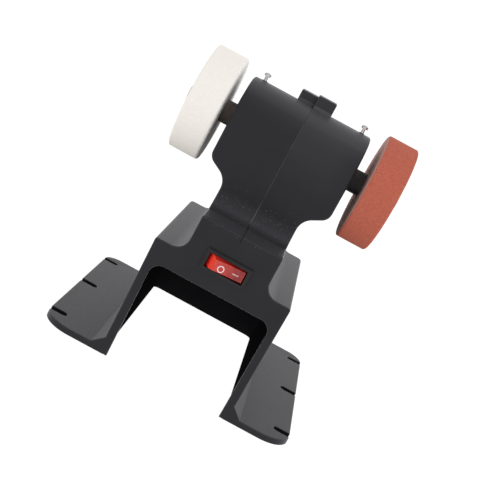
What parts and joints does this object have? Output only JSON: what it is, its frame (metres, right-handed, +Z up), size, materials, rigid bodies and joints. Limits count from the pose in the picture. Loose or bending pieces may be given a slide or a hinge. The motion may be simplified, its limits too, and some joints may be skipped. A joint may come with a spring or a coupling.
{
  "type": "mini bench grinder",
  "caption": "Small bench grinder: arched moulded stand with slotted foot plates, rocker switch, two-part motor body, a white and a red grinding wheel on a double-ended spindle.",
  "frame": {"origin": "on the bench, under the middle of the whole object's box", "axes": "+X to the viewer's right along the spindle, -Y is the front with the switch, +Z up"},
  "size_m": [0.178, 0.194, 0.2056],
  "materials": {
    "black_moulding": "fine moulded grain, matt",
    "switch_black": "smooth, half gloss",
    "switch_red": "translucent red, glossy, white marks",
    "white_abrasive": "open-grained vitrified abrasive",
    "red_abrasive": "open-grained vitrified abrasive",
    "arbor_steel": "turned and blackened",
    "screw_steel": "zinc plated",
    "motor_steel": "drawn, plated",
    "bearing_steel": "ground and polished",
    "core_iron": "laminated iron",
    "magnet_ferrite": "sintered ferrite",
    "copper": "enamelled copper",
    "brass": "bright",
    "carbon": "pressed carbon",
    "cap_nylon": "moulded nylon",
    "pad_rubber": "matt",
    "lead_insulation": "flexible insulation"
  },
  "bodies": {
    "frame": {"stand_shell": "black_moulding", "bay_cover": "black_moulding", "bay_cover_screws": "screw_steel", "foot_pads": "pad_rubber", "left_body_half": "black_moulding", "right_body_half": "black_moulding", "ear_screw": "screw_steel", "ear_nut": "screw_steel", "neck_screws": "screw_steel", "body_screws": "screw_steel", "guard_screws": "screw_steel", "motor_can": "motor_steel", "motor_end_cap": "cap_nylon", "motor_magnets": "magnet_ferrite", "motor_cushions": "pad_rubber", "bearing_outer_rings": "bearing_steel", "bearing_balls": "bearing_steel", "brush_holders": "brass", "carbon_brushes": "carbon", "motor_terminals": "brass", "switch_frame": "switch_black", "switch_terminals": "brass", "inlet_barrel": "switch_black", "inlet_nut": "screw_steel", "inlet_pin": "brass", "power_leads": "lead_insulation"},
    "spindle": {"bearing_inner_rings": "bearing_steel", "armature_core": "core_iron", "armature_windings": "copper", "commutator": "copper", "motor_shaft": "bearing_steel", "left_arbor": "arbor_steel", "right_arbor": "arbor_steel", "arbor_set_screws": "arbor_steel", "white_wheel": "white_abrasive", "red_wheel": "red_abrasive", "wheel_washers": "screw_steel", "left_wheel_bolt": "screw_steel", "right_wheel_bolt": "screw_steel"},
    "rocker": {"switch_rocker": "switch_red"}
  },
  "joints": [
    {"name": "spindle_turn", "type": "hinge", "parent": "frame", "child": "spindle", "pos_m": [0, -0.02203, 0.1665], "axis": [1, 0, 0], "continuous": true},
    {"name": "rocker_tilt", "type": "hinge", "parent": "frame", "child": "rocker", "pos_m": [0, -0.08518, 0.0888], "axis": [0, 0, 1], "range_deg": [-28, 0]}
  ]
}
